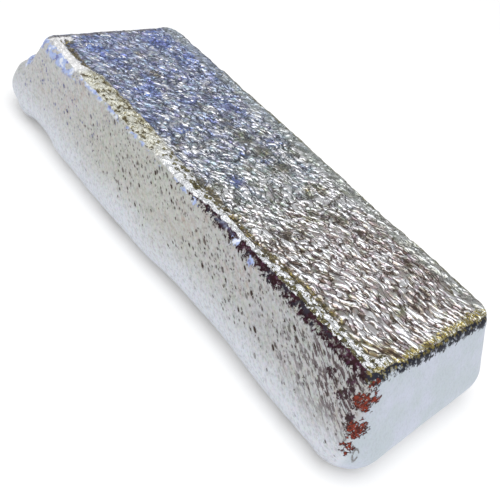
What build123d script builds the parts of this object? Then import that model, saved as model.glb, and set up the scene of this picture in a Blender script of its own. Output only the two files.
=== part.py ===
from math import radians, tan
import os

from build123d import *

# Small bar of tin, cast as one piece in an open mould, in millimetres.
# It lies upside down, as it was tipped out: the wide open face is underneath and
# the narrow face that froze on the mould's floor is on top.
# +X runs along the bar towards its plain end, the lapped end is at -X, and +Z is up.

# Top face, which froze on the mould's floor
top_length = 120.3
top_width = 41.0
height = 22.9

# Slope of each wall, in degrees from upright
side_draft = 17.6
plain_end_draft = 23.4
lapped_end_draft = 17.6

# How far the ends stand out of square, at one side against the middle
plain_end_skew = 2.4
lapped_end_skew = 0.3

# Upright corners, rounder at the open face than on the mould's floor
crisp_corner_radius = 3.1
plain_corner_radius = 5.0
lapped_corner_radius = 3.8
open_corner_radius = 9.9

# Edge round the top face, and the fat edge that the melt drew round the open face
shoulder_radius = 2.0
open_edge_radius = 6.3
rim_limit_share = 0.66
lap_limit_share = 0.55

# Long sides wander in and out a little, more at the open face than at the top
side_wave = 0.9
wave_radius = 450.0
wave_place_shares = (0.37, 0.72)
wave_reach_shares = (1.0, -0.6)
top_wave_share = 0.35

# Laps at one end, where the metal froze in tiers before the mould was full
lap_tread = 1.45
lap_inset = 0.4
lap_lift = 0.5
lap_edge_radius = 1.2
lap_level_shares = (0.5, 0.62, 0.77)

# Shallow sink along the open face, where the last metal shrank as it froze
sink_length = 98.0
sink_width = 22.0
sink_depth = 0.8


def outline_points(level, tread, inset):
    # Corners of the bar's outline at one level, with each long side's two bends.
    depth = height - level
    half_width = top_width / 2 + depth * tan(radians(side_draft)) - inset
    plain_end = top_length / 2 + depth * tan(radians(plain_end_draft)) - inset
    lapped_end = -top_length / 2 - depth * tan(radians(lapped_end_draft)) - tread
    plain_skew = plain_end_skew * depth / height
    wave = side_wave * (top_wave_share + (1 - top_wave_share) * depth / height)

    points = []
    for side, skew in ((-1, -1), (1, 1)):
        start = lapped_end + skew * lapped_end_skew
        finish = plain_end - skew * plain_skew
        run = [(start, side * half_width)]
        for place, reach in zip(wave_place_shares, wave_reach_shares):
            bend = start + place * (finish - start)
            run.append((bend, side * (half_width + reach * wave)))
        run.append((finish, side * half_width))
        points += run if side < 0 else reversed(run)
    return points


def corner_radii(level):
    # Radius at each outline point, with the two wide bends of each long side.
    drop = (height - level) / height
    lapped, crisp, plain = (
        radius + (open_corner_radius - radius) * drop
        for radius in (lapped_corner_radius, crisp_corner_radius, plain_corner_radius)
    )
    return [lapped, wave_radius, wave_radius, crisp, plain, wave_radius, wave_radius, lapped]


def tapered_block(bottom, top, edge_radius, tread=0, inset=0):
    # One drafted block between two levels, with both its rims rounded.
    with BuildPart() as block:
        for level in (bottom, top):
            with BuildSketch(Plane.XY.offset(level)):
                with BuildLine():
                    FilletPolyline(
                        *outline_points(level, tread, inset),
                        radius=corner_radii(level),
                        close=True,
                    )
                make_face()
        loft(ruled=True)
        fillet(block.faces().sort_by(Axis.Z)[-1].edges(), edge_radius)
        fillet(block.faces().sort_by(Axis.Z)[0].edges(), open_edge)
    return block.part


def sink_dish():
    # Shallow trough with round ends: one arc's section, drawn along and turned at each end.
    half_width = sink_width / 2
    arc_radius = (half_width**2 + sink_depth**2) / (2 * sink_depth)
    half_straight = (sink_length - sink_width) / 2
    with BuildPart() as dish:
        with BuildSketch(Plane.YZ.offset(-half_straight)):
            with BuildLine():
                ThreePointArc((half_width, 0), (0, sink_depth), (-half_width, 0))
                Line((-half_width, 0), (half_width, 0))
            make_face()
        extrude(amount=2 * half_straight)
        for end in (-half_straight, half_straight):
            with BuildSketch(Plane.XZ):
                with BuildLine():
                    Line((end, sink_depth), (end, 0))
                    Line((end, 0), (end + half_width, 0))
                    RadiusArc((end, sink_depth), (end + half_width, 0), arc_radius)
                make_face()
            revolve(axis=Axis((end, 0, 0), (0, 0, 1)))
    return dish.part


# Rounded rims stay smaller than the corners that they run round and the lowest lap
tightest_corner = min(crisp_corner_radius, plain_corner_radius, lapped_corner_radius)
shoulder = min(shoulder_radius, rim_limit_share * tightest_corner)
lowest_lap = lap_level_shares[0] * height
open_edge = min(
    open_edge_radius, rim_limit_share * open_corner_radius, lap_limit_share * lowest_lap
)

# Each higher lap reaches one tread less and is a little narrower
laps = []
for tier, level_share in enumerate(lap_level_shares):
    treads_left = len(lap_level_shares) - tier
    laps.append(
        tapered_block(
            (tier + 1) * lap_lift,
            level_share * height,
            lap_edge_radius,
            treads_left * lap_tread,
            (tier + 1) * lap_inset,
        )
    )

with BuildPart() as casting:
    add(tapered_block(0, height, shoulder))
    add(laps)

middle = casting.part.bounding_box().center()

with BuildPart() as ingot:
    with Locations((-middle.X, -middle.Y, 0)):
        add(casting.part)
    add(sink_dish(), mode=Mode.SUBTRACT)

ingot.part.label = "ingot"
os.makedirs("parts", exist_ok=True)
export_step(ingot.part, "parts/ingot.step")
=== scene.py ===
import math

import bmesh
import bpy
from mathutils import Matrix, Vector, noise
from mathutils.bvhtree import BVHTree


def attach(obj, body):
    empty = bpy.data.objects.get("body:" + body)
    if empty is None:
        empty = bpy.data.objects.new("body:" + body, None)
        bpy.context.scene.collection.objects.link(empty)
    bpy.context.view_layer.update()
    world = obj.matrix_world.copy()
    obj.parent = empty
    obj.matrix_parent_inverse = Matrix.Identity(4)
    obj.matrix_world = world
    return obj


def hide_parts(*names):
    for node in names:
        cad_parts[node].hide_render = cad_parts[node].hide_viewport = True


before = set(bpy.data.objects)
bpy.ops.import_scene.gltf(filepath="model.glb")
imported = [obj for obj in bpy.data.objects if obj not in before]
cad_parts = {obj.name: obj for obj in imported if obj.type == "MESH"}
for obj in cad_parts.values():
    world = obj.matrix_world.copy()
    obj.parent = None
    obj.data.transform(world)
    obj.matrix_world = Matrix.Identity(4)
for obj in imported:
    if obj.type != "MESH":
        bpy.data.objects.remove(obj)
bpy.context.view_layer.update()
mm = 0.001

# Camera: where the photo was taken from, about the centre of the bar's top face
view = {
    "azimuth": 126.45,      # degrees, direction it looks in the plan
    "pitch": 38.50,         # degrees down
    "roll": 21.60,          # degrees the bar leans in the picture
    "distance": 189.5,      # mm along the view
    "slideRight": 6.49,     # mm, camera moved sideways in its own picture
    "slideDown": 3.35,
    "lens": 54.99,          # mm on a 36 mm sensor
    "aim": (1.35, 0.0, 0.0),
}


def makeCamera():
    azimuth, pitch, roll = (math.radians(view[k]) for k in ("azimuth", "pitch", "roll"))
    forward = Vector((
        math.cos(pitch) * math.cos(azimuth),
        math.cos(pitch) * math.sin(azimuth),
        -math.sin(pitch),
    ))
    right = forward.cross(Vector((0, 0, 1))).normalized()
    up = right.cross(forward)
    turn = Matrix.Rotation(-roll, 3, forward)
    right, up = turn @ right, turn @ up
    place = Vector(view["aim"]) - forward * view["distance"]
    place += right * view["slideRight"] - up * view["slideDown"]
    camera = bpy.data.objects.new("camera", bpy.data.cameras.new("camera"))
    camera.data.lens = view["lens"]
    camera.data.sensor_width = 36
    camera.data.clip_start = 0.005
    bpy.context.scene.collection.objects.link(camera)
    camera.matrix_world = Matrix((right, up, -forward)).transposed().to_4x4()
    camera.location = place * mm
    bpy.context.scene.camera = camera
    print("camera at", [round(c, 4) for c in camera.location])


def blendIn(low, high, value):
    # 0 below low, 1 above high and a soft S between
    t = min(1.0, max(0.0, (value - low) / (high - low)))
    return t * t * (3 - 2 * t)


def mix(a, b, t):
    return a + (b - a) * t


# Mesh of the dressed bar, sizes in mm
skinMesh = {
    "voxel": 0.86,          # cell size of the even mesh
    "softenPasses": 4,      # takes the cells' steps out before the mesh goes back on the solid
    "fineDepth": 3.2,       # how far below the top face the mesh is finer
    "fineCuts": 2,
}


def snapTo(bm, tree):
    for vert in bm.verts:
        vert.co = tree.find_nearest(vert.co)[0]


def evenMesh(node):
    # The CAD solid as one even mesh of small squares, finer on the top face and its edge
    bm = bmesh.new()
    bm.from_mesh(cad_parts[node].data)
    bmesh.ops.remove_doubles(bm, verts=bm.verts, dist=0.001 * mm)
    tree = BVHTree.FromBMesh(bm)
    shape = BarShape(bm)
    plain = bpy.data.meshes.new("plainCopy")
    bm.to_mesh(plain)
    bm.free()

    holder = bpy.data.objects.new("plainCopy", plain)
    bpy.context.scene.collection.objects.link(holder)
    remesh = holder.modifiers.new("even", "REMESH")
    remesh.mode = "VOXEL"
    remesh.voxel_size = skinMesh["voxel"] * mm
    remesh.adaptivity = 0
    deps = bpy.context.evaluated_depsgraph_get()
    mesh = bpy.data.meshes.new_from_object(holder.evaluated_get(deps))
    bpy.data.objects.remove(holder)
    bpy.data.meshes.remove(plain)

    bm = bmesh.new()
    bm.from_mesh(mesh)
    for _ in range(skinMesh["softenPasses"]):
        bmesh.ops.smooth_vert(bm, verts=bm.verts, factor=0.5,
                              use_axis_x=True, use_axis_y=True, use_axis_z=True)
        snapTo(bm, tree)
    fineLevel = (shape.top - skinMesh["fineDepth"]) * mm
    fineEdges = [e for e in bm.edges if min(v.co.z for v in e.verts) > fineLevel]
    bmesh.ops.subdivide_edges(bm, edges=fineEdges, cuts=skinMesh["fineCuts"],
                              use_grid_fill=True, use_single_edge=True)
    snapTo(bm, tree)
    bmesh.ops.recalc_face_normals(bm, faces=bm.faces)
    bm.normal_update()
    print("even mesh:", len(bm.verts), "vertices,", len(bm.faces), "faces")
    return bm, mesh, shape


# Crinkled skin of the top face, sizes in mm
crinkle = {
    "leanFar": 30.0,        # degrees the folds run off the bar's length, lapped end
    "leanNear": 7.0,        # and plain end
    "wander": 2.4,          # how far they swing off their line
    "wanderSize": 12.0,
    "acrossPace": (0.82, 0.88),         # pattern per mm across them, lapped end and plain end
    "alongPace": (1.25, 0.20, -0.36),   # and along them: share, its square and its cube
    "padSize": (3.7, 1.15, 1),
    "padShare": 0.30,       # of the folds' height
    "foldSize": (6.5, 1.6, 1),
    "foldShare": 0.42,
    "crossSize": (3.6, 1.5, 1),
    "crossShare": 0.28,
    "fineSize": (1.7, 0.65, 1),
    "fineShare": 0.42,
    "waver": (3.2, 2.8, 0),
    "waverSize": (2.6, 1.8, 1),
    "calmSize": (9, 6, 1),  # places where the skin lies smooth
    "calmShare": 0.5,
    "calmHeight": 0.66,
    "depth": 0.50,
    "sunkShare": 0.55,      # share of the depth that lies inside the solid
    "creaseDepth": 0.06,
    "swell": 0.22,          # slow rise and fall of the whole face
    "swellSize": 16.0,
}

# Lumpy bead along the front edge: places along the bar and how far it reaches
# onto the top face and over the edge there, mm
bead = {
    "inner": ((-57, 2.3), (-45, 1.9), (-38, 4.2), (-20, 4.2), (0, 2.9), (24, 1.6), (38, 3.2),
              (52, 3.2), (60, 2.4)),
    "outer": ((-57, -0.2), (-43, -1.1), (-10, -1.3), (3, -1.6), (14, 0.0), (60, 0.0)),
    "otherEdges": -0.9,     # where the skin ends on the other three sides
    "lift": 0.16,
    "lump": 0.50,
    "lumpSize": (1.625, 1.25, 1.25),
    "groove": 0.30,         # depth of the groove on its inner side
}


def follow(places, x):
    # Value at x on a soft line through the places
    if x <= places[0][0]:
        return places[0][1]
    for (startX, start), (endX, end) in zip(places, places[1:]):
        if x < endX:
            return mix(start, end, blendIn(startX, endX, x))
    return places[-1][1]


class BarShape:
    # What the relief needs to know of the solid's top face, in mm
    def __init__(self, bm):
        self.top = max(v.co.z for v in bm.verts) / mm
        flat = [v.co / mm for v in bm.verts if v.co.z / mm > self.top - 0.002]
        self.minX = min(co.x for co in flat)
        self.maxX = max(co.x for co in flat)
        self.halfY = max(abs(co.y) for co in flat)

    def rim(self, co):
        # Way over the surface from the top face's edge: + on the face, - down the walls
        inside = min(self.halfY - abs(co.y), self.maxX - co.x, co.x - self.minX)
        return inside - (self.top - co.z)

    def alongShare(self, co):
        return (co.x - self.minX) / (self.maxX - self.minX)


def foldPlace(co, share, length):
    # Folds lie slantwise at the lapped end and turn along the bar towards the plain end
    slopeFar = math.tan(math.radians(crinkle["leanFar"]))
    slopeNear = math.tan(math.radians(crinkle["leanNear"]))
    slope = mix(slopeFar, slopeNear, share)
    drift = 0.5 * (slopeFar + slope) * share * length
    size = crinkle["wanderSize"]
    wander = crinkle["wander"] * noise.noise(Vector((co.x / size, co.y / size, 4.0)))
    across = (co.y - drift) * math.cos(math.atan(slope)) * mix(*crinkle["acrossPace"], share)
    # They are short up to the middle and longest at the plain end
    along = length * sum(pace * share ** (power + 1) for power, pace in enumerate(crinkle["alongPace"]))
    return along + 0.2 * co.y, across + wander


def markPlaces(bm, shape):
    # Points carry what the relief and the material both read, in mm; the open face
    # underneath counts as far below the rim
    rimMark = bm.verts.layers.float.new("rim")
    underBead = bm.verts.layers.float.new("underBead")
    insideBead = bm.verts.layers.float.new("insideBead")
    endWall = bm.verts.layers.float.new("endWall")
    underside = bm.verts.layers.float.new("underside")
    flowPlace = bm.verts.layers.float_vector.new("flow")
    for vert in bm.verts:
        co = vert.co / mm
        below = blendIn(-0.5, -0.9, vert.normal.z) * blendIn(8.0, 5.0, co.z)
        rim = shape.rim(co) - 30.0 * below
        front = blendIn(-10.0, -14.0, co.y) * blendIn(-59.0, -57.0, co.x)
        vert[rimMark] = rim
        vert[underBead] = mix(bead["otherEdges"], follow(bead["outer"], co.x), front) - rim
        vert[insideBead] = rim - mix(-9.0, follow(bead["inner"], co.x), front)
        vert[endWall] = shape.halfY - abs(co.y) - shape.maxX + co.x
        vert[underside] = below
        vert[flowPlace] = (*foldPlace(co, shape.alongShare(co), shape.maxX - shape.minX), 0.0)


class Nodes:
    # Short ways to add and join the nodes of one tree
    def __init__(self, tree):
        self.tree = tree
        self.count = 0

    def add(self, kind, **settings):
        node = self.tree.nodes.new(kind)
        node.location = (-1800 + 170 * (self.count % 12), -220 * (self.count // 12))
        self.count += 1
        for name, value in settings.items():
            setattr(node, name, value)
        return node

    def join(self, source, target):
        self.tree.links.new(source, target)

    def put(self, socket, value):
        if isinstance(value, bpy.types.NodeSocket):
            self.join(value, socket)
        else:
            socket.default_value = value

    def maths(self, operation, a, b=0.0):
        node = self.add("ShaderNodeMath", operation=operation)
        self.put(node.inputs[0], a)
        self.put(node.inputs[1], b)
        return node.outputs[0]

    def minus(self, a, b):
        return self.maths("SUBTRACT", a, b)

    def product(self, *factors):
        result = factors[0]
        for factor in factors[1:]:
            result = self.maths("MULTIPLY", result, factor)
        return result

    def total(self, *parts):
        result = parts[0]
        for part in parts[1:]:
            result = self.maths("ADD", result, part)
        return result

    def largest(self, *values):
        result = values[0]
        for value in values[1:]:
            result = self.maths("MAXIMUM", result, value)
        return result

    def vector(self, operation, a, b):
        node = self.add("ShaderNodeVectorMath", operation=operation)
        self.put(node.inputs[0], a)
        self.put(node.inputs[1], b)
        return node.outputs[0]

    def distance(self, place, centre=(0, 0, 0)):
        node = self.add("ShaderNodeVectorMath", operation="DISTANCE")
        self.put(node.inputs[0], place)
        self.put(node.inputs[1], centre)
        return node.outputs["Value"]

    def split(self, place):
        node = self.add("ShaderNodeSeparateXYZ")
        self.join(place, node.inputs[0])
        return node.outputs

    def parts(self, colour):
        node = self.add("ShaderNodeSeparateColor")
        self.join(colour, node.inputs[0])
        return node.outputs

    def range(self, value, low, high, toLow=0.0, toHigh=1.0):
        node = self.add("ShaderNodeMapRange", interpolation_type="SMOOTHSTEP")
        for name, setting in (("Value", value), ("From Min", low), ("From Max", high),
                              ("To Min", toLow), ("To Max", toHigh)):
            self.put(node.inputs[name], setting)
        return node.outputs["Result"]

    def colour(self, share, a, b):
        node = self.add("ShaderNodeMix", data_type="RGBA")
        self.put(node.inputs["Factor"], share)
        for socket, value in ((node.inputs[6], a), (node.inputs[7], b)):
            self.put(socket, value if isinstance(value, bpy.types.NodeSocket) else (*value, 1))
        return node.outputs[2]

    def coats(self, colour, *layers):
        # Lays one colour after another over the first, each where its share says
        for share, over in layers:
            colour = self.colour(share, colour, over)
        return colour

    def noise(self, place, size, detail=2.0, roughness=0.5, output="Fac"):
        # Noise whose lumps are about this size in mm, one number or three
        if not isinstance(size, tuple):
            size = (size, size, size)
        node = self.add("ShaderNodeTexNoise")
        self.join(self.vector("DIVIDE", place, size), node.inputs["Vector"])
        for name, value in (("Scale", 1.0), ("Detail", detail), ("Roughness", roughness)):
            node.inputs[name].default_value = value
        return node.outputs[output]

    def blotches(self, place, size, detail, roughness, low, high, toLow=0.0, toHigh=1.0):
        # Soft patches: toLow where the noise is at low, toHigh where it is at high
        return self.range(self.noise(place, size, detail, roughness), low, high, toLow, toHigh)

    def stray(self, place, size, amount, detail=3.0, roughness=0.6):
        # Noise that moves a point or a mask's edge up to this many mm to either side
        return self.product(self.minus(self.noise(place, size, detail, roughness), 0.5), 2.0 * amount)

    def cells(self, place, size, feature="F1"):
        node = self.add("ShaderNodeTexVoronoi", feature=feature)
        self.join(self.vector("DIVIDE", place, size), node.inputs["Vector"])
        node.inputs["Scale"].default_value = 1.0
        return node.outputs

    def turned(self, place, turn, shift=(0, 0, 0)):
        # The same place on axes turned by these degrees
        node = self.add("ShaderNodeMapping", vector_type="TEXTURE")
        self.join(place, node.inputs["Vector"])
        node.inputs["Rotation"].default_value = [math.radians(angle) for angle in turn]
        node.inputs["Location"].default_value = shift
        return node.outputs["Vector"]

    def mark(self, name, vector=False):
        # What markPlaces wrote on the points, read in the material or in the relief
        if self.tree.bl_idname == "ShaderNodeTree":
            return self.add("ShaderNodeAttribute", attribute_name=name).outputs["Vector" if vector else "Fac"]
        node = self.add("GeometryNodeInputNamedAttribute", data_type="FLOAT_VECTOR" if vector else "FLOAT")
        node.inputs["Name"].default_value = name
        return next(socket for socket in node.outputs if socket.name == "Attribute" and socket.enabled)


class Places:
    # Where a point lies on the bar, in mm, in one tree
    def __init__(self, n, source):
        self.place = n.vector("DIVIDE", source, (mm, mm, mm))
        self.x, self.y, self.z = n.split(self.place)
        self.flow = n.mark("flow", vector=True)
        self.rim, self.under, self.inside = (n.mark(name) for name in ("rim", "underBead", "insideBead"))
        self.endWall, self.underside = (n.mark(name) for name in ("endWall", "underside"))


def foldPattern(n, flow):
    # Height, 1 on the plump tops of the folds and 0 between them, and the thin creases
    waver = n.vector("SUBTRACT", n.noise(flow, crinkle["waverSize"], 2, 0.5, "Color"), (0.5, 0.5, 0.5))
    bent = n.vector("ADD", flow, n.vector("MULTIPLY", waver, crinkle["waver"]))
    edge = n.cells(bent, crinkle["padSize"], "DISTANCE_TO_EDGE")["Distance"]
    broad, narrow = (
        n.maths("ABSOLUTE", n.minus(n.noise(bent, crinkle[name], 1, 0.5), 0.5))
        for name in ("foldSize", "crossSize")
    )
    ripples = n.product(n.minus(n.noise(bent, crinkle["fineSize"], 3, 0.6), 0.5), crinkle["fineShare"])
    height = n.total(
        n.range(edge, 0.0, 0.30, 0.0, crinkle["padShare"]),
        n.range(broad, 0.0, 0.10, 0.0, crinkle["foldShare"]),
        n.range(narrow, 0.0, 0.10, 0.0, crinkle["crossShare"]),
        ripples,
    )
    # Here and there the skin lies smooth
    calm = n.blotches(flow, crinkle["calmSize"], 2, 0.5, 0.53, 0.66, 0.0, crinkle["calmShare"])
    height = n.total(n.product(height, n.minus(1.0, calm)), n.product(calm, crinkle["calmHeight"]))
    nearest = n.maths("MINIMUM", n.product(edge, 13.0), n.product(broad, 45.0))
    nearest = n.total(nearest, n.product(ripples, 2.0))
    return height, n.product(n.range(nearest, 0.62, 0.30), n.minus(1.0, n.product(calm, 0.8)))


def beadHeight(n, place):
    # Lumps of the bead, about 0 to 1
    return n.blotches(place, bead["lumpSize"], 4, 0.62, 0.36, 0.66)


def grooveMask(n, at, inside):
    # Groove on the bead's inner side, at the lapped end and from the middle to the plain end
    nearPart = n.product(n.range(at.x, -3.0, 7.0), n.range(at.x, 54.0, 46.0))
    along = n.largest(n.range(at.x, -41.0, -44.0), nearPart)
    across = n.range(n.maths("ABSOLUTE", n.minus(inside, 0.8)), 1.1, 0.6)
    return n.product(across, along, n.range(at.y, -13.0, -15.0))


# Unevenness of the walls and the open face, sizes in mm
walls = {
    "hollows": (            # front wall's foot is drawn in: start, full, full, end and depth
        (-57, -51, -46, -38, 1.05),
        (0, 12, 26, 42, 0.85),
    ),
    "wave": 0.25,
    "waveSize": 9.0,
    "farEdgeWave": 0.55,    # along the top edge away from the bead
    "farEdgeWaveSize": 5.0,
    "openSink": 0.26,       # the open face shrank unevenly and only moves up from the floor
    "openSinkSize": (8, 5, 5),
    "grainTurn": (0, 31, 0),            # degrees, slopes down towards the plain end
}


def reliefLift(n, at):
    # How far every point moves along its normal, mm
    height, creases = foldPattern(n, at.flow)
    onSkin = n.product(n.range(at.inside, -0.3, 0.8), n.range(at.rim, -2.0, 0.4))
    skinLift = n.product(onSkin, n.total(
        n.product(height, crinkle["depth"]),
        n.product(creases, -crinkle["creaseDepth"]),
        -crinkle["sunkShare"] * crinkle["depth"],
        n.stray(at.place, crinkle["swellSize"], crinkle["swell"], 1, 0.5),
    ))
    onBead = n.product(n.range(at.inside, 0.5, -0.7), n.range(at.under, 0.9, -0.5))
    lumpLift = n.product(n.minus(beadHeight(n, at.place), 0.5), bead["lump"])
    beadLift = n.product(onBead, n.total(lumpLift, bead["lift"]))
    grooveLift = n.product(grooveMask(n, at, at.inside), -bead["groove"])
    wallLift = n.product(n.stray(at.place, walls["waveSize"], walls["wave"], 2, 0.5),
                         n.range(at.rim, -3.0, -9.0), n.range(at.z, 0.2, 2.5))
    edgeLift = n.product(n.stray(at.place, walls["farEdgeWaveSize"], walls["farEdgeWave"], 2, 0.5),
                         n.range(at.rim, -6.0, -1.5), n.range(at.rim, 3.0, 0.5), n.range(at.y, 12.0, 16.0))
    hollows = [n.product(n.range(at.x, start, full), n.range(at.x, end, last), -depth)
               for start, full, last, end, depth in walls["hollows"]]
    hollowLift = n.product(n.total(*hollows), n.range(at.y, -10.0, -18.0), n.range(at.z, 13.0, 6.0))
    openLift = n.product(n.blotches(at.place, walls["openSinkSize"], 3, 0.55, 0.40, 0.64),
                         at.underside, -walls["openSink"])
    return n.total(skinLift, beadLift, grooveLift, wallLift, edgeLift, hollowLift, openLift)


def carveRelief(mesh):
    # Moves the points by the same patterns that the material reads
    tree = bpy.data.node_groups.new("tinRelief", "GeometryNodeTree")
    tree.interface.new_socket("Geometry", in_out="INPUT", socket_type="NodeSocketGeometry")
    tree.interface.new_socket("Geometry", in_out="OUTPUT", socket_type="NodeSocketGeometry")
    n = Nodes(tree)
    at = Places(n, n.add("GeometryNodeInputPosition").outputs[0])
    move = n.vector("MULTIPLY", n.add("GeometryNodeInputNormal").outputs[0], (mm, mm, mm))
    scaled = n.add("ShaderNodeVectorMath", operation="SCALE")
    n.join(move, scaled.inputs[0])
    n.join(reliefLift(n, at), scaled.inputs["Scale"])
    setPlace = n.add("GeometryNodeSetPosition")
    n.join(n.add("NodeGroupInput").outputs[0], setPlace.inputs["Geometry"])
    n.join(scaled.outputs[0], setPlace.inputs["Offset"])
    n.join(setPlace.outputs[0], n.add("NodeGroupOutput").inputs[0])

    holder = bpy.data.objects.new("relief", mesh)
    bpy.context.scene.collection.objects.link(holder)
    holder.modifiers.new("relief", "NODES").node_group = tree
    deps = bpy.context.evaluated_depsgraph_get()
    carved = bpy.data.meshes.new_from_object(holder.evaluated_get(deps))
    bpy.data.objects.remove(holder)
    return carved


# Colours of the cast tin, linear
tin = {
    # The next ten are painted light and shade of the top skin: a painted highlight for the fold tops, then a
    # lit, a shaded and a crease-shaded copy of the skin's colour, in general, towards the plain end and at
    # the blue lapped end
    "foldPaintedHighlight": (0.88, 0.89, 0.92),
    "foldPaintedLit": (0.57, 0.595, 0.605),
    "foldPaintedShade": (0.405, 0.440, 0.450),
    "foldPaintedDeepShade": (0.105, 0.105, 0.090),
    "nearPaintedLit": (0.64, 0.60, 0.58),
    "nearPaintedShade": (0.480, 0.435, 0.425),
    "nearPaintedDeepShade": (0.078, 0.048, 0.038),
    "bluePaintedLit": (0.45, 0.51, 0.68),
    "bluePaintedShade": (0.262, 0.292, 0.410),
    "bluePaintedDeepShade": (0.095, 0.110, 0.175),
    "deepBlue": (0.15, 0.21, 0.52),
    "olive": (0.19, 0.18, 0.10),
    "dull": (0.20, 0.20, 0.16),
    "gilt": (0.33, 0.27, 0.085),
    "smooth": (0.42, 0.46, 0.44),
    "slate": (0.10, 0.11, 0.17),
    "bronze": (0.36, 0.33, 0.20),
    "beadCream": (0.78, 0.78, 0.69),
    "beadWhite": (0.88, 0.90, 0.93),
    "lapWhite": (0.98, 0.98, 0.99),
    "beadGrime": (0.080, 0.070, 0.040),
    "beadOlive": (0.240, 0.220, 0.110),
    "crevice": (0.125, 0.100, 0.050),
    "lapEdge": (0.200, 0.185, 0.175),
    "wallFar": (0.660, 0.665, 0.675),
    "wallMiddle": (0.620, 0.628, 0.595),
    "wallNear": (0.600, 0.608, 0.625),
    "wallEnd": (0.620, 0.688, 0.750),
    "wallEndWarm": (0.680, 0.722, 0.838),
    # Painted bounce light: paler colour for the walls' foot
    "wallFootPaintedBounce": (0.790, 0.825, 0.900),
    "wallPink": (0.52, 0.41, 0.36),
    "wallGreen": (0.47, 0.53, 0.41),
    "mottlePale": (0.95, 0.95, 0.95),
    "mottleDark": (0, 0, 0),
    "stroke": (0.075, 0.036, 0.044),
    "openPale": (0.68, 0.69, 0.71),
    "openGrey": (0.37, 0.375, 0.385),
    # Frost: near-white painted highlights, the frost's blue, and deep blue painted shade
    "frost": (0.88, 0.92, 1.00),
    "frostBlue": (0.48, 0.58, 0.88),
    "frostPaintedShade": (0.24, 0.27, 0.54),
    "stain": (0.040, 0.018, 0.022),
    "stainViolet": (0.090, 0.036, 0.066),
    "charcoal": (0.040, 0.042, 0.058),
    "pit": (0.055, 0.034, 0.028),
    "bluePit": (0.15, 0.18, 0.45),
    "rust": (0.29, 0.042, 0.020),
    "rustDark": (0.075, 0.014, 0.010),
}

# Where single marks stand on the bar: centre x, y, z and reach, mm
marks = {
    "rust": (
        (61.3, -19.6, 21.5, 0.9), (61.6, -20.9, 18.1, 1.7), (62.5, -18.9, 19.0, 0.9),
        (63.5, -22.2, 12.9, 1.7), (64.2, -21.0, 14.2, 0.8), (64.6, -23.2, 9.5, 1.0),
    ),
    "scars": (              # dark, beside the rust
        (58.0, -21.3, 20.3, 0.9), (59.0, -21.9, 18.4, 1.1), (57.9, -22.4, 16.6, 0.7),
        (53.9, -21.9, 18.3, 0.8), (61.7, -22.6, 14.4, 0.8),
    ),
    "frost": (              # pale blue lumps under the bead
        (-63.6, -19.6, 14.0, 1.6), (-61.2, -21.4, 14.0, 1.4), (3.7, -20.4, 22.2, 0.7),
        (7.7, -20.7, 21.9, 0.8), (21.4, -20.3, 22.1, 1.1), (26.9, -20.7, 21.8, 0.9),
    ),
    "blue": (               # this and the next two are tints of the top skin
        (-51.5, 10.5, 22.9, 4.2), (-42.0, 15.0, 22.9, 2.5), (-28.6, -16.6, 22.9, 2.2),
        (-15.7, 1.6, 22.9, 1.4), (-17.6, 12.0, 22.9, 1.8), (-14.0, -8.0, 22.9, 1.8),
        (-3.6, 12.2, 22.9, 1.8), (-2.0, 0.4, 22.9, 1.1), (2.1, 3.6, 22.9, 1.1),
        (5.8, -8.0, 22.9, 1.9),
    ),
    "dull": (
        (-7.5, 4.6, 22.9, 3.0), (-1.2, 5.8, 22.9, 2.8), (5.0, 7.3, 22.9, 2.4),
        (25.0, 7.2, 22.9, 2.0),
    ),
    "gilt": (
        (-37.0, -0.4, 22.9, 1.5), (-46.5, 0.8, 22.9, 0.9), (13.8, 7.5, 22.9, 1.1),
        (15.3, -15.0, 22.9, 1.0), (55.8, -15.2, 22.9, 2.2), (57.6, -11.5, 22.9, 1.8),
    ),
    "loopCentre": (66.2, -22.2, 8.1),   # looped dent low on the near corner
    "loopSize": (0.8, 0.7, 2.3),
}


def patches(n, place, spotList):
    # How deep a point lies inside small ragged patches, mm, torn into shreds round the corner
    shreds = n.stray(n.turned(place, (20, 0, 25)), (0.8, 2.2, 0.7), 2.6, 4)
    depths = [n.minus(reach, n.total(n.distance(place, centre), shreds)) for *centre, reach in spotList]
    return n.largest(-9.0, *depths)


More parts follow.
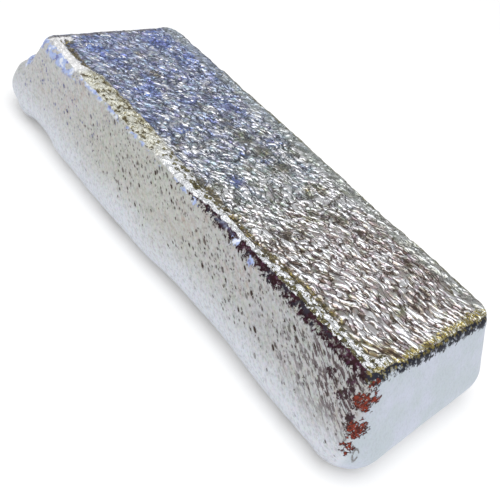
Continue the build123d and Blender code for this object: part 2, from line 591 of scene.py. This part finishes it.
def skinColour(n, at, height, creases):
    # Top skin: painted light on the fold tops, painted shade on the flanks and in the creases, blue at the
    # lapped end
    place = at.place
    blueSpot, dullSpot, giltSpot = (
        n.range(patches(n, place, marks[name]), -1.4, 1.4) for name in ("blue", "dull", "gilt")
    )
    nearness = n.range(n.total(at.x, n.stray(place, 8, 20.0)), 2.0, 36.0)
    blueness = n.range(n.total(at.x, n.stray(place, 8, 44.0)), 20.0, -34.0)
    # Lit, shaded and crease-shaded copies of the skin's colour: painted light and painted shade
    light, middle, deep = (
        n.coats(tin["fold" + level], (nearness, tin["near" + level]), (blueness, tin["blue" + level]))
        for level in ("PaintedLit", "PaintedShade", "PaintedDeepShade")
    )
    bluePatch = n.product(n.blotches(place, 7, 4, 0.65, 0.50, 0.62), n.range(at.x, 14.0, -45.0))
    oliveArea = n.product(n.blotches(n.turned(place, (0, 0, 0), (31, 7, 0)), 6, 4, 0.7, 0.53, 0.64),
                          n.range(at.x, -45.0, -10.0, 0.5, 1.0))
    # Each fold has a tinge of its own
    tinge = n.vector("SUBTRACT", n.noise(place, 1.4, 2, 0.6, "Color"), (0.5, 0.5, 0.5))
    tinge = n.vector("ADD", n.vector("MULTIPLY", tinge, (0.62, 0.45, 0.65)), (1, 1, 1))
    tints = (               # share, colour, how much of it on the flanks and on the tops
        (n.largest(bluePatch, blueSpot), "deepBlue", 0.85, 0.6),
        (oliveArea, "olive", 0.7, 0.4),
        (dullSpot, "dull", 0.8, 0.9),
        (giltSpot, "gilt", 0.7, 0.5),
    )
    for share, name, onMiddle, onLight in tints:
        middle = n.colour(n.product(share, onMiddle), middle, tin[name])
        light = n.colour(n.product(share, onLight), light, tin[name])
    middle = n.vector("MULTIPLY", middle, tinge)
    light = n.vector("MULTIPLY", light, tinge)
    # Painted highlight: only some of the folds get a near-white top colour, most of them at the plain end and
    # beside the bead
    besideBead = n.product(n.range(at.y, 0.0, -14.0), n.range(at.x, -25.0, -5.0))
    paintedGlintFrom = n.total(n.range(at.x, -50.0, 30.0, 0.55, 0.385), n.product(besideBead, -0.05))
    paintedGlint = n.range(n.noise(place, 2.2, 3, 0.6), paintedGlintFrom, n.total(paintedGlintFrom, 0.07))
    paintedGlint = n.product(paintedGlint, n.minus(1.0, n.largest(dullSpot, n.product(giltSpot, 0.6))))
    border = n.range(n.total(at.y, n.stray(place, 5, 2.5)), 15.0, 17.0)
    # Painted light and shade by fold height: painted highlight or lit tone on the tops, painted shade on the
    # flanks, darkest painted shade in the low parts and the creases
    return n.coats(
        n.colour(paintedGlint, light, tin["foldPaintedHighlight"]),
        (n.range(height, 0.80, 0.46), middle),
        (n.largest(n.range(height, 0.16, 0.0), n.product(creases, 0.9)), deep),
        (n.product(border, 0.5), tin["smooth"]),
    )


def wallColour(n, at):
    # Walls: pale and matt, faintly streaked and mottled, lighter at the foot with painted bounce light
    place, grain = at.place, at.grain
    pink = n.blotches(grain, (3.0, 1.0, 0.9), 4, 0.7, 0.46, 0.70)
    green = n.blotches(n.turned(grain, (0, 0, 0), (40, 9, 3)), (3.0, 1.2, 1.0), 4, 0.7, 0.46, 0.70)
    broad = n.noise(place, 9.0, 3, 0.6)
    # Painted light: the walls grow paler towards the foot, as if lit by light bounced off the floor
    paintedBounce = n.range(n.total(at.z, n.stray(place, 7, 3.0)), 14.0, 5.0)
    endTone = n.colour(n.blotches(place, 7.0, 3, 0.6, 0.35, 0.65), tin["wallEnd"], tin["wallEndWarm"])
    strokes = n.product(
        n.range(n.noise(grain, (3.2, 0.75, 0.62), 4, 0.7),
                n.range(at.x, 40.0, 58.0, 0.54, 0.495), n.range(at.x, 40.0, 58.0, 0.58, 0.535)),
        n.range(n.total(at.x, n.stray(place, 6, 12.0)), 30.0, 56.0),
        n.range(at.endWall, 0.6, -1.0),
        n.range(at.rim, -22.0, -10.0),
    )
    mottle = n.noise(grain, (0.9, 0.5, 0.5), 4, 0.7)
    mottled = n.range(at.endWall, -1.0, 1.0, 1.0, 0.35)     # the plain end is the smoothest
    return n.coats(
        tin["wallFar"],
        (n.range(at.x, -50.0, -15.0), tin["wallMiddle"]),
        (n.range(at.x, 0.0, 35.0), tin["wallNear"]),
        (n.product(pink, n.range(at.rim, -20.0, -6.0, 0.35, 1.0), n.range(broad, 0.3, 0.7)), tin["wallPink"]),
        (n.product(green, n.range(broad, 0.7, 0.3), 0.8), tin["wallGreen"]),
        (paintedBounce, tin["wallFootPaintedBounce"]),
        (n.range(at.endWall, 0.0, 3.0), endTone),
        (n.range(at.endWall, -1.0, 1.0, 0.20, 0.05), n.noise(grain, (1.1, 0.5, 0.5), 4, 0.75, "Color")),
        (n.product(strokes, 0.9), tin["stroke"]),
        (n.product(n.range(mottle, 0.45, 0.30, 0.0, 0.14), mottled), tin["mottlePale"]),
        (n.product(n.range(mottle, 0.46, 0.66, 0.0, 0.24), mottled), tin["mottleDark"]),
    )


def spots(n, grain, size, fill, keep):
    # Small long spots, each in its own cell, of which only a share is kept, with a faint ring
    cells = n.cells(grain, size)
    sizePick, keepPick, darkPick = n.parts(cells["Color"])
    radius = n.product(n.range(sizePick, 0.0, 1.0, 0.35, 1.0), fill)
    away = n.minus(n.total(cells["Distance"], n.stray(grain, 0.4, 0.22, 4)), radius)
    spot = n.largest(n.range(away, 0.03, -0.04), n.range(away, 0.30, 0.0, 0.0, 0.22))
    return n.product(spot, n.maths("LESS_THAN", keepPick, keep), n.range(darkPick, 0.1, 0.8, 0.55, 1.0))


def pitMask(n, at):
    # Pits of the long walls, fading out towards the foot and the lapped end
    keep = n.product(n.range(at.rim, -23.0, -7.0), n.range(at.endWall, 1.0, -1.0),
                     n.range(at.x, -58.0, -18.0, 0.35, 1.0), n.blotches(at.place, 6.0, 2, 0.5, 0.25, 0.65))
    keepSmall = n.product(keep, n.range(at.x, 0.0, 25.0, 1.0, 1.5))
    small = spots(n, at.grain, (1.1, 0.6, 0.5), 0.36, keepSmall)
    shifted = n.turned(at.grain, (0, 0, 0), (11, 5, 7))
    return n.largest(n.product(small, 0.85), spots(n, shifted, (2.3, 1.1, 0.85), 0.34, n.product(keep, 0.9)))


def openFaceColour(n, at):
    # Open face underneath: frosted, with greyer crystals
    waver = n.vector("MULTIPLY", n.noise(at.place, 3.0, 4, 0.65, "Color"), (5, 5, 5))
    bent = n.vector("ADD", at.place, waver)
    facets = n.parts(n.cells(bent, (7.0, 4.5, 5.0))["Color"])[0]
    crystals = n.colour(0.6, facets, n.noise(at.place, (3.0, 1.6, 2.0), 5, 0.7))
    return n.colour(n.range(crystals, 0.25, 0.70), tin["openPale"], tin["openGrey"])


def beadColour(n, at, lumps):
    # White lumps with olive grime in the hollows, creamy and bronze at the lapped end's half
    place, x = at.place, at.x
    # Grime gathers on the bead's outer half and leaves its inner ridge smooth; from the
    # middle to x 24 it gathers on the inner half
    level = n.total(
        n.range(n.range(x, -30.0, 14.0), 0.0, 1.0, 0.05, 0.44),
        n.range(x, -44.0, -40.0, -0.5, 0.0),
        n.range(x, 20.0, 40.0, 0.0, 0.18),
        n.product(n.range(at.under, -1.2, -2.2, -0.3, 0.14), n.range(x, -20.0, -8.0), n.range(x, 30.0, 20.0)),
        n.product(n.range(n.maths("ABSOLUTE", n.total(at.inside, 1.2)), 0.9, 0.4, 0.0, -0.35),
                  n.range(x, 24.0, 34.0)),
    )
    fine = n.blotches(place, 1.1, 3, 0.65, 0.38, 0.62)
    rough = n.colour(0.5, lumps, fine)
    fleck = n.blotches(place, 0.7, 4, 0.7, 0.42, 0.60)
    white = n.coats(
        tin["lapWhite"],
        (n.range(x, -44.0, -40.0), tin["beadWhite"]),
        (n.range(n.minus(rough, level), 0.05, -0.07), n.colour(fleck, tin["beadGrime"], tin["beadOlive"])),
    )
    bronzeEdge = n.range(n.total(at.inside, n.stray(place, 2.0, 1.6, 4)), -2.0, -1.0)
    bronze = n.coats(
        tin["beadCream"],
        (n.range(rough, 0.44, 0.14), tin["bronze"]),
        (n.product(bronzeEdge, n.range(fine, 0.95, 0.45), 0.9), tin["bronze"]),
        (n.range(lumps, 0.16, 0.06), tin["crevice"]),
    )
    creamy = n.product(n.range(x, -43.0, -40.0), n.range(n.total(x, n.stray(place, 5, 14.0)), -2.0, -14.0))
    return n.colour(creamy, white, bronze)


def frostCoat(n, at):
    # Pale blue lumps under the bead, wide at the lapped end and a few farther on
    reach = n.range(at.x, -35.0, -48.0, 1.3, 4.0)
    field = n.product(n.range(n.minus(at.under, reach), 0.6, -0.8), n.range(at.endWall, 1, -1),
                      n.range(n.total(at.x, n.stray(at.place, 4, 30.0)), 22.0, -12.0))
    denser = n.range(at.x, -38.0, -46.0, 0.0, 0.09)
    lumpy = n.range(n.total(n.noise(at.place, 1.9, 2, 0.55), denser), 0.50, 0.58)
    frost = n.largest(n.product(field, lumpy), n.range(patches(n, at.place, marks["frost"]), 0.0, 0.3))
    shade = n.noise(at.place, 1.7, 3, 0.55)
    # Near-white painted highlights where the noise is low, the frost's blue in between and deep blue painted
    # shade where it is high
    return frost, n.coats(
        tin["frost"],
        (n.range(shade, 0.38, 0.50), tin["frostBlue"]),
        (n.range(shade, 0.54, 0.66), tin["frostPaintedShade"]),
    )


def stainCoat(n, at, violetTone, gold):
    # Dark stain beneath the bead, growing towards the plain end, and the charcoal band of that end
    place = at.place
    growth = n.range(at.x, -4.0, 24.0)
    onEnd = n.range(at.endWall, -2.0, 0.0)
    ragged = n.colour(onEnd, n.stray(n.turned(place, (0, 62, 0)), (2.4, 0.8, 0.8), 3.5, 4, 0.75),
                      n.stray(n.turned(place, (-35, 0, 0)), (0.9, 0.9, 2.6), 2.5, 4, 0.7))
    over = n.minus(n.total(at.under, ragged), n.range(growth, 0.0, 1.0, 0.2, 3.0))
    blots = n.largest(n.blotches(place, 1.3, 4, 0.7, 0.42, 0.50), n.range(over, -0.8, -2.4))
    stain = n.product(n.range(over, 0.3, -0.3), n.range(growth, 0.0, 0.1), blots,
                      n.maths("GREATER_THAN", at.x, -10.0))
    giltFlecks = n.product(n.range(gold, 0.52, 0.58), n.range(at.rim, -2.6, -1.4), 0.8)
    coal = n.colour(giltFlecks, tin["charcoal"], tin["gilt"])
    return stain, n.coats(
        violetTone,
        (n.blotches(place, 2.4, 3, 0.6, 0.54, 0.62, 0.0, 0.7), tin["charcoal"]),
        (onEnd, coal),
    )


def grooveCoat(n, at, violet):
    # Grime in the groove, flecked with gilt
    mask = n.product(grooveMask(n, at, n.total(at.inside, n.stray(at.place, 1.6, 1.0, 4))),
                     n.blotches(at.place, 1.6, 3, 0.6, 0.38, 0.46), 0.9)
    return mask, n.colour(violet, tin["crevice"], tin["gilt"])


def filmCoat(n, at, gold):
    # Golden film along the plain end's edge
    edge = n.total(at.x, n.stray(at.place, 1.6, 1.6), n.range(at.y, -8.0, 15.0, 0.0, 0.8))
    film = n.product(n.range(edge, 58.9, 59.5), n.blotches(at.place, 1.0, 4, 0.7, 0.40, 0.46))
    return film, n.coats(
        tin["charcoal"],
        (n.range(gold, 0.34, 0.41), tin["gilt"]),
        (n.range(gold, 0.51, 0.57), tin["beadCream"]),
    )


def lapEdgeCoat(n, at):
    # Dull edge of the top lap
    edge = n.range(n.total(at.x, n.stray(at.place, 1.5, 0.8)), -57.0, -57.6, 0.0, 0.75)
    return n.product(edge, n.range(at.y, 15.0, 11.0)), tin["lapEdge"]


def farEdgeCoat(n, at):
    # Thin dark line along the long edge away from the bead
    line = n.product(
        n.range(n.total(at.rim, n.stray(at.place, 1.2, 0.6)), 0.1, -0.5),
        n.range(at.rim, -4.5, -3.0),
        n.range(at.y, 12.0, 16.0),
        n.range(at.endWall, -0.5, -2.0),
        n.blotches(at.place, 2.5, 3, 0.6, 0.36, 0.52, 0.3, 0.9),
    )
    return line, n.colour(n.range(at.x, -40.0, -25.0), tin["slate"], tin["olive"])


def scarMask(n, at):
    # Dark scars beside the rust
    return n.product(n.range(patches(n, at.place, marks["scars"]), -0.3, 0.1),
                     n.blotches(at.grain, (1.8, 0.5, 0.5), 3, 0.65, 0.64, 0.56))


def rustCoat(n, at):
    # Rust at the near corner, torn into shreds
    deep = patches(n, at.place, marks["rust"])
    shredded = n.turned(at.place, (20, 0, 25))
    rust = n.product(n.range(deep, -0.35, 0.0), n.blotches(shredded, (0.42, 1.5, 0.38), 4, 0.7, 0.60, 0.55))
    return rust, n.coats(
        tin["rust"],
        (n.blotches(shredded, (0.5, 1.4, 0.5), 4, 0.7, 0.46, 0.54), tin["rustDark"]),
        (n.range(deep, 0.15, 0.0), tin["stain"]),
    )


def loopMask(n, at):
    # Looped dent low on the near corner
    around = n.vector("DIVIDE", n.vector("SUBTRACT", at.place, marks["loopCentre"]), marks["loopSize"])
    ring = n.minus(n.total(n.distance(around), n.stray(at.place, 0.9, 0.25)), 0.75)
    broken = n.blotches(at.place, 1.2, 2, 0.6, 0.43, 0.53)
    return n.product(n.range(n.maths("ABSOLUTE", ring), 0.24, 0.08), broken)


# How the tin shines
finish = {
    "skinRoughness": 0.24,
    "wallRoughness": 0.58,
    "wallMetal": 0.45,      # the skin's is 1
    "bumpDepth": 0.22,      # mm
}


def makeTin():
    material = bpy.data.materials.new("castTin")
    material.use_nodes = True
    shader = material.node_tree.nodes["Principled BSDF"]
    n = Nodes(material.node_tree)
    at = Places(n, n.add("ShaderNodeTexCoord").outputs["Object"])
    at.grain = n.turned(at.place, walls["grainTurn"])   # pits and streaks run along it
    height, creases = foldPattern(n, at.flow)
    lumps = beadHeight(n, at.place)
    violet = n.blotches(at.place, 0.9, 4, 0.7, 0.53, 0.61)
    violetTone = n.colour(violet, tin["stain"], tin["stainViolet"])
    gold = n.noise(at.place, 1.0, 3, 0.65)

    pits = pitMask(n, at)
    bluePits = n.range(n.total(at.x, n.stray(at.place, 1.2, 50.0)), -22.0, -42.0, 0.0, 0.8)
    stain, stainTone = stainCoat(n, at, violetTone, gold)
    frost, frostTone = frostCoat(n, at)
    wall = n.coats(
        wallColour(n, at),
        (pits, n.colour(bluePits, tin["pit"], tin["bluePit"])),
        (at.underside, openFaceColour(n, at)),
        (stain, stainTone),
        (frost, frostTone),
    )
    onBead = n.range(n.total(at.inside, n.stray(at.place, 1.6, 1.5, 4)), 0.5, -0.5)
    skin = n.coats(
        skinColour(n, at, height, creases),
        (onBead, beadColour(n, at, lumps)),
        grooveCoat(n, at, violet),
        filmCoat(n, at, gold),
        lapEdgeCoat(n, at),
    )
    onSkin = n.range(n.minus(at.under, n.stray(at.place, 1.1, 1.0, 5)), 0.15, -0.15)
    rust, rustTone = rustCoat(n, at)
    loop = loopMask(n, at)
    colour = n.coats(
        wall,
        (onSkin, skin),
        farEdgeCoat(n, at),
        (scarMask(n, at), violetTone),
        (rust, rustTone),
        (n.product(loop, 0.8), tin["lapEdge"]),
    )
    n.join(colour, shader.inputs["Base Color"])

    # Skin and stain shine like metal, the bead's far half, rust and frost less so
    metal = n.minus(n.largest(onSkin, stain), n.largest(rust, frost))
    metal = n.minus(metal, n.product(onBead, onSkin, n.range(at.x, -46.0, -38.0, 1.0, 0.35)))
    n.join(n.range(metal, 0.0, 1.0, finish["wallMetal"], 1.0), shader.inputs["Metallic"])
    roughness = n.range(n.minus(onSkin, rust), 0.0, 1.0, finish["wallRoughness"], finish["skinRoughness"])
    n.join(roughness, shader.inputs["Roughness"])

    relief = n.product(n.colour(onBead, n.minus(height, n.product(creases, 0.3)), lumps), onSkin)
    relief = n.minus(relief, n.product(n.largest(pits, loop, rust), 0.5))
    wallGrain = n.product(n.noise(at.grain, (1.0, 0.5, 0.5), 3, 0.6), n.minus(1.0, onSkin), 0.2)
    bump = n.add("ShaderNodeBump")
    bump.inputs["Distance"].default_value = finish["bumpDepth"] * mm
    bump.inputs["Strength"].default_value = 1.0
    n.join(n.total(relief, wallGrain), bump.inputs["Height"])
    n.join(bump.outputs["Normal"], shader.inputs["Normal"])
    return material


def makeBar():
    bm, mesh, shape = evenMesh("ingot")
    print("top face", round(shape.minX, 2), round(shape.maxX, 2), "half width", round(shape.halfY, 2))
    markPlaces(bm, shape)
    bm.to_mesh(mesh)
    bm.free()
    carved = carveRelief(mesh)
    carved.name = "castBar"
    carved.polygons.foreach_set("use_smooth", [True] * len(carved.polygons))
    bar = bpy.data.objects.new("castBar", carved)
    bpy.context.scene.collection.objects.link(bar)
    carved.materials.append(makeTin())
    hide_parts("ingot")
    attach(bar, "root")
    triangles = sum(len(p.vertices) - 2 for p in carved.polygons)
    print("cast bar:", triangles, "triangles")


# Studio, sizes in m
studio = {
    "floorRadius": 3.0,
    "floorColour": (0.86, 0.86, 0.86),
    "floorGlow": 0.2,       # only for what the camera and shiny surfaces see
    "worldLevel": 0.55,
    "overheadSize": 0.9,
    "overheadPlace": (0.06, -0.10, 0.72),
    "overheadPower": 4.0,
}


def makeStudio():
    bm = bmesh.new()
    bmesh.ops.create_circle(bm, cap_ends=True, segments=96, radius=studio["floorRadius"])
    mesh = bpy.data.meshes.new("floor")
    bm.to_mesh(mesh)
    bm.free()
    floor = bpy.data.objects.new("floor", mesh)
    bpy.context.scene.collection.objects.link(floor)
    material = bpy.data.materials.new("paleFloor")
    material.use_nodes = True
    n = Nodes(material.node_tree)
    shader = material.node_tree.nodes["Principled BSDF"]
    shader.inputs["Base Color"].default_value = (*studio["floorColour"], 1)
    shader.inputs["Roughness"].default_value = 0.9
    shader.inputs["Specular IOR Level"].default_value = 0.1
    seen = n.add("ShaderNodeLightPath")
    rays = ("Is Camera Ray", "Is Glossy Ray", "Is Transmission Ray")
    seenAny = n.largest(*(seen.outputs[name] for name in rays))
    shader.inputs["Emission Color"].default_value = (1, 1, 1, 1)
    n.join(n.product(seenAny, studio["floorGlow"]), shader.inputs["Emission Strength"])
    mesh.materials.append(material)

    world = bpy.data.worlds.new("studio")
    bpy.context.scene.world = world
    world.use_nodes = True
    ground = world.node_tree.nodes["Background"]
    ground.inputs["Color"].default_value = (1, 1, 1, 1)
    ground.inputs["Strength"].default_value = studio["worldLevel"]

    lamp = bpy.data.lights.new("overhead", "AREA")
    lamp.shape = "SQUARE"
    lamp.size = studio["overheadSize"]
    lamp.energy = studio["overheadPower"]
    overhead = bpy.data.objects.new("overhead", lamp)
    bpy.context.scene.collection.objects.link(overhead)
    overhead.location = studio["overheadPlace"]
    overhead.rotation_euler = (-Vector(studio["overheadPlace"])).to_track_quat("-Z", "Y").to_euler()
    bpy.context.scene.view_settings.view_transform = "Standard"


makeCamera()
makeBar()
makeStudio()
